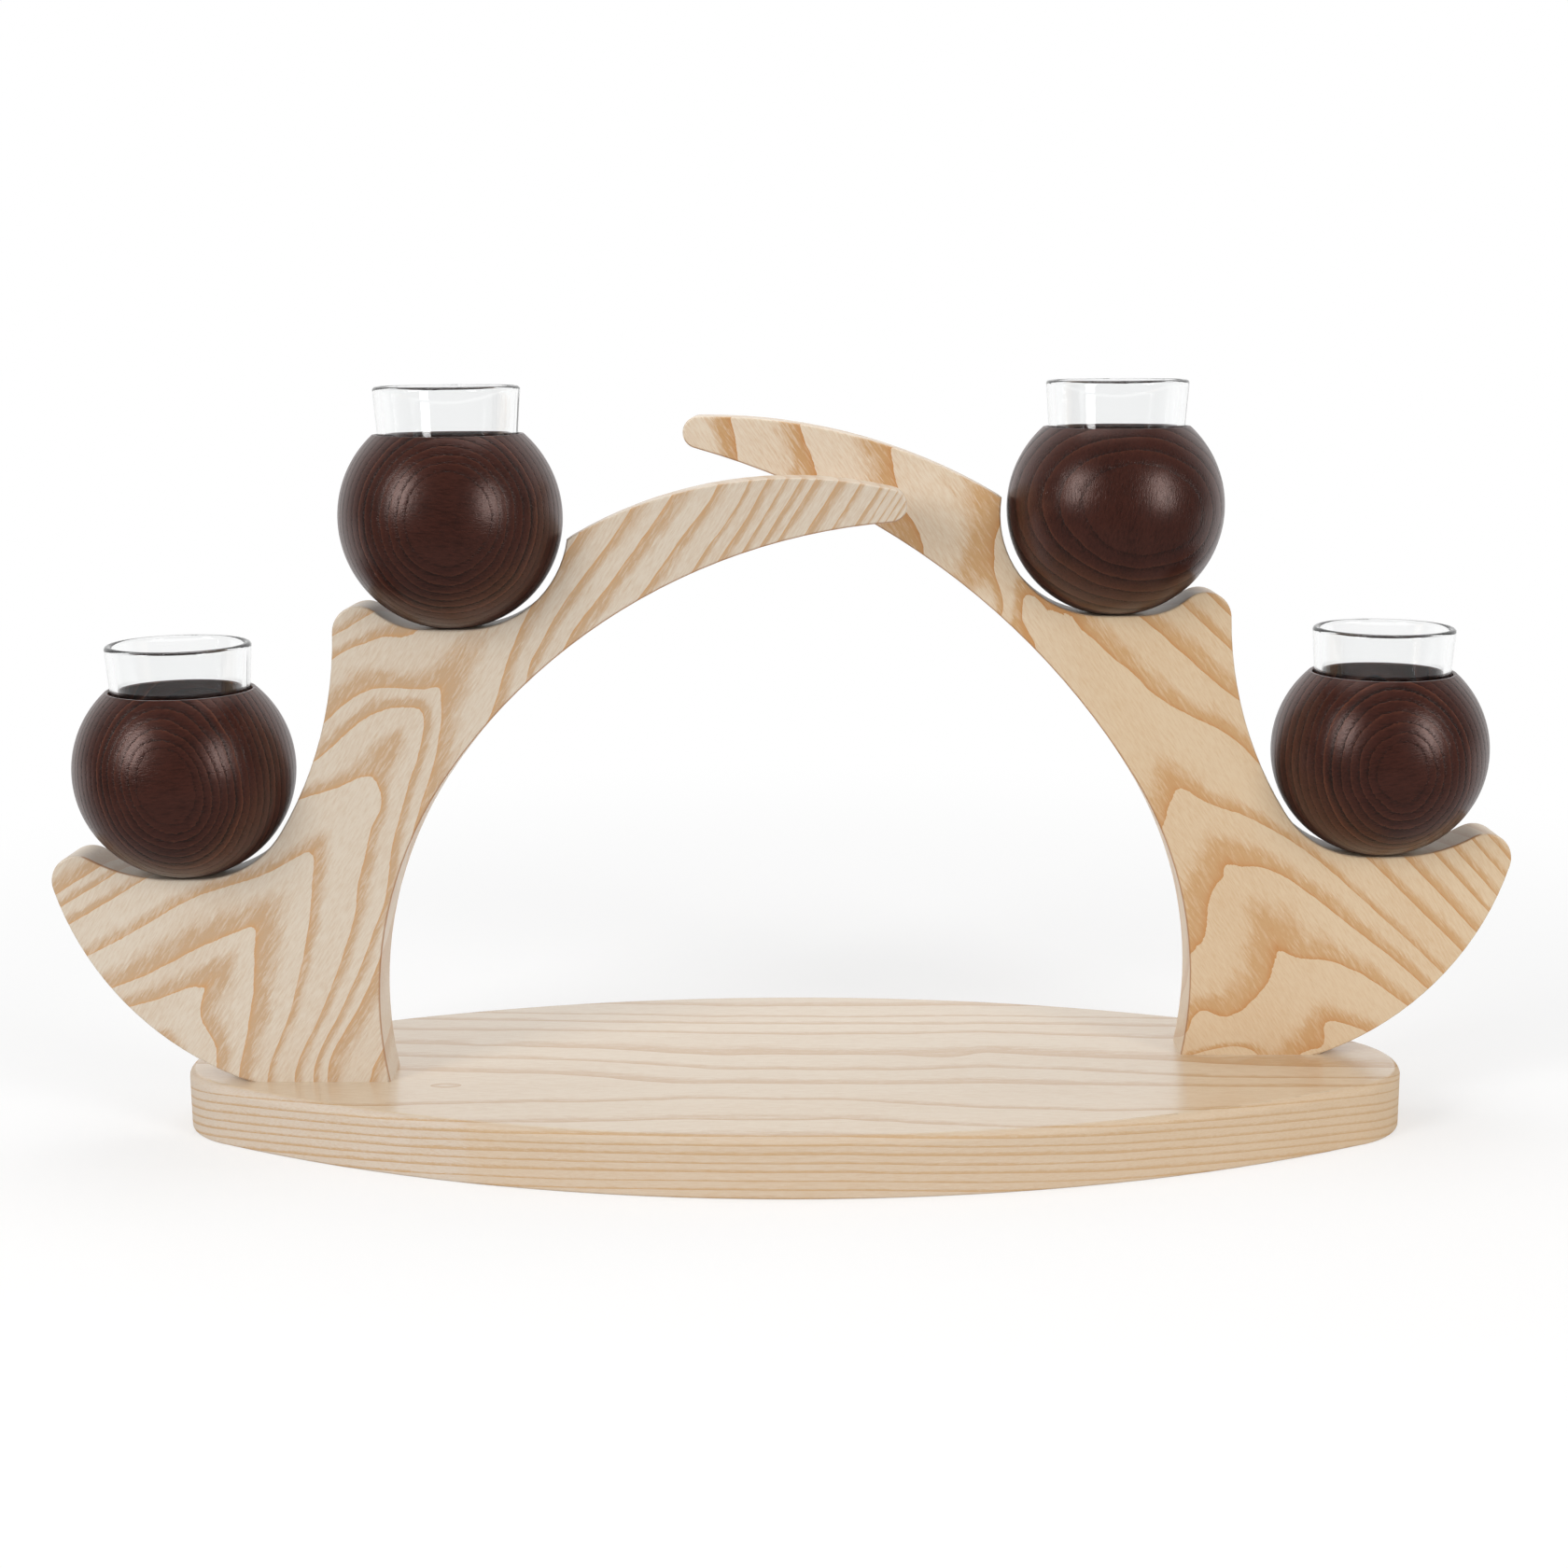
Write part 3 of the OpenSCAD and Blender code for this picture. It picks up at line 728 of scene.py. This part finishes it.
def ball_material(node, target, tilt, first, thick, heart):
    """target is the direction in which the rings face, as shares of the ball's radius to the
    right and up. Depth is how far a point lies below the shell that touches the ball there;
    the shell's heart line lies behind the ball's middle and runs along the grain, turned by
    tilt. The root of depth grows evenly across the ball, so the first ring is first wide and
    the next ones follow every thick millimetres. Inside it the year almost stands still."""
    low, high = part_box(node)
    middle = (low + high) / 2 / MM
    middle.z = low.z / MM + BALL_FOOT
    face = Vector((target[0], -math.sqrt(1 - target[0] ** 2 - target[1] ** 2), target[1]))
    grain = Vector((math.cos(tilt), 0, math.sin(tilt)))
    grain = (grain - face * grain.dot(face)).normalized()
    side = face.cross(grain)
    material, tree, shader = new_material(
        "stained_" + node, {"Specular IOR Level": 0.5, "Specular Tint": (1.0, 0.76, 0.7, 1.0)}
    )
    x, y, z = (value - offset for value, offset in zip(millimetres(tree), middle))
    along, across, out = (x * axis.x + y * axis.y + z * axis.z for axis in (grain, side, face))
    wander = noise(vector(along / 22.0 + first, across / 16.0, out / 16.0), detail=1) * 1.6
    crumbs = noise(vector(along / 1.6, across / 0.9, out / 0.9)) * 0.5
    shell = (across * across + (out + heart) * (out + heart)).math("SQRT")
    depth = BALL_RADIUS + heart - shell + along * along * 0.001 + wander + crumbs
    travel = (depth.math("MAXIMUM", 0.0) * (2 * BALL_RADIUS)).math("SQRT")
    rings = (travel - first) / thick
    inner = rings.math("MINIMUM", 0.0) * 0.04 - rings.math("LESS_THAN", 0.0) * 0.4
    color, height, gloss = use_group(
        tree, STAINED, Year=inner + rings.math("MAXIMUM", 0.0) + FIRST_YEAR,
        Fibre=vector(along, across, out),
        Dark=paint(32, 15, 12), Light=paint(67, 35, 28), Late=paint(104, 60, 44),
    )
    link(tree, color, shader.inputs["Base Color"])
    link(tree, gloss * 0.14 + 0.28, shader.inputs["Roughness"])
    add_bump(tree, shader, height, strength=1.0, distance=0.0001)
    return material


def dress(node, material):
    """The node's own shape stays, and takes this material."""
    thing = nodes[node]
    thing.data.materials.clear()
    thing.data.materials.append(material)


# Each row is the node, the target, the tilt, the first ring, its thickness and the heart.
for node, *figure in (
    ("ball_lower_left", (0.10, 0.01), 0.1, 10.0, 2.9, 50.0),
    ("ball_upper_left", (0.13, 0.05), -0.1, 15.2, 3.3, 300.0),
    ("ball_upper_right", (0.16, 0.05), 1.4, 16.5, 5.5, 40.0),
    ("ball_lower_right", (-0.007, -0.061), 0.2, 9.0, 3.4, 80.0),
):
    dress(node, ball_material(node, *figure))

# %% [markdown]
# ## Glass cups, dowels and screws
# The cups are plain pressed glass, so one clear material is enough: the thick walls do
# the rest. Dowels and screws are hidden, but seen from below or in a cut they still
# show beech and zinc.

# %% Glass
GLASS_INDEX = 1.5
glass, _, _ = new_material("clear_glass", {
    "Base Color": (0.985, 0.99, 0.99, 1), "Roughness": 0.0, "IOR": GLASS_INDEX,
    "Transmission Weight": 1.0,
})
cups = [node for node in nodes if node.startswith("glass_")]
for node in cups:
    dress(node, glass)
print("glass on", len(cups), "cups")

# %% Dowels and screws
def beech_years(tree):
    """Even years of 1.8 mm across x, with fibres that run up."""
    x, y, z = millimetres(tree)
    return (x + noise(vector(x / 9.0, y / 9.0, z / 30.0)) * 3.0) / 1.8, vector(z, x, y)


beech = ash_material(
    "beech", beech_years, paint(206, 168, 128), paint(190, 146, 104), paint(150, 106, 70),
    width=0.6, rough=0.6,
)


def zinc_material():
    """Plated steel: metal whose roughness and tone vary in fine grains."""
    material, tree, shader = new_material("zinc", {"Metallic": 1.0})
    grains = noise(vector(*millimetres(tree)), scale=1.6, detail=3)
    tone = mix_color(paint(176, 178, 178), paint(214, 214, 208), grains.step(-0.3, 0.3))
    link(tree, tone, shader.inputs["Base Color"])
    link(tree, grains * 0.3 + 0.38, shader.inputs["Roughness"])
    return material


zinc = zinc_material()
for node in nodes:
    if node.startswith("dowel_"):
        dress(node, beech)
    elif node.startswith("screw_"):
        dress(node, zinc)
dress("base_board", ash_board)

# %% [markdown]
# ## Eased edges on the uprights
# A sawn outline has sharp arrises, and the maker eases them with a small round. The
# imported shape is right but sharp. A copy of its mesh is merged and its flat triangles
# are joined, then a Bevel modifier rounds only the arrises of the two broad faces, so
# the screw and dowel holes stay as they are. The foot stays sharp where it meets the
# board.

# %% Ease the edges
ARRIS_WIDTH, TINY = 0.8 * MM, 1e-5
FLAT_TURN, SHARP_TURN = math.radians(0.6), math.radians(25)


def eased_copy(node, name, material, front_y, back_y, foot_z, width):
    """A merged copy of a node. Arrises between a broad face, at front_y or back_y, and the
    rim get a bevel of this width, except along the foot."""
    mesh = nodes[node].data.copy()
    mesh.name = name
    form = bmesh.new()
    form.from_mesh(mesh)
    bmesh.ops.remove_doubles(form, verts=form.verts, dist=2e-6)
    bmesh.ops.dissolve_limit(form, angle_limit=FLAT_TURN, verts=form.verts, edges=form.edges)
    layers = form.edges.layers.float
    weights = layers.get("bevel_weight_edge") or layers.new("bevel_weight_edge")
    eased = 0
    for edge in form.edges:
        if len(edge.link_faces) != 2:
            continue
        if edge.calc_face_angle(0) > SHARP_TURN:
            edge.smooth = False
        ends = [vertex.co for vertex in edge.verts]
        level = round(ends[0].y, 5) == round(ends[1].y, 5)
        at_face = min(abs(ends[0].y - front_y), abs(ends[0].y - back_y)) < TINY
        at_foot = max(end.z for end in ends) < foot_z + TINY
        broad = [abs(face.normal.y) > 0.9 for face in edge.link_faces]
        if level and at_face and not at_foot and broad[0] != broad[1]:
            edge[weights] = 1.0
            eased += 1
    for face in form.faces:
        face.smooth = True
    form.to_mesh(mesh)
    form.free()
    mesh.materials.clear()
    mesh.materials.append(material)
    thing = bpy.data.objects.new(name, mesh)
    bpy.context.scene.collection.objects.link(thing)
    bevel = thing.modifiers.new("eased", "BEVEL")
    bevel.limit_method, bevel.width, bevel.segments = "WEIGHT", width, 3
    bevel.harden_normals = True
    print(name, "faces", len(mesh.polygons), "eased edges", eased)
    return thing


BOARD_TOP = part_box("base_board")[1].z
for node, name, material in (
    ("front_upright", "front_arch", ash_front),
    ("rear_upright", "rear_arch", ash_rear),
):
    low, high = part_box(node)
    arch = eased_copy(node, name, material, low.y, high.y, BOARD_TOP, ARRIS_WIDTH)
    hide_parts(node)
    "ash_pale" if node == "front_upright" else "ash_warm"
    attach(arch, "stand")
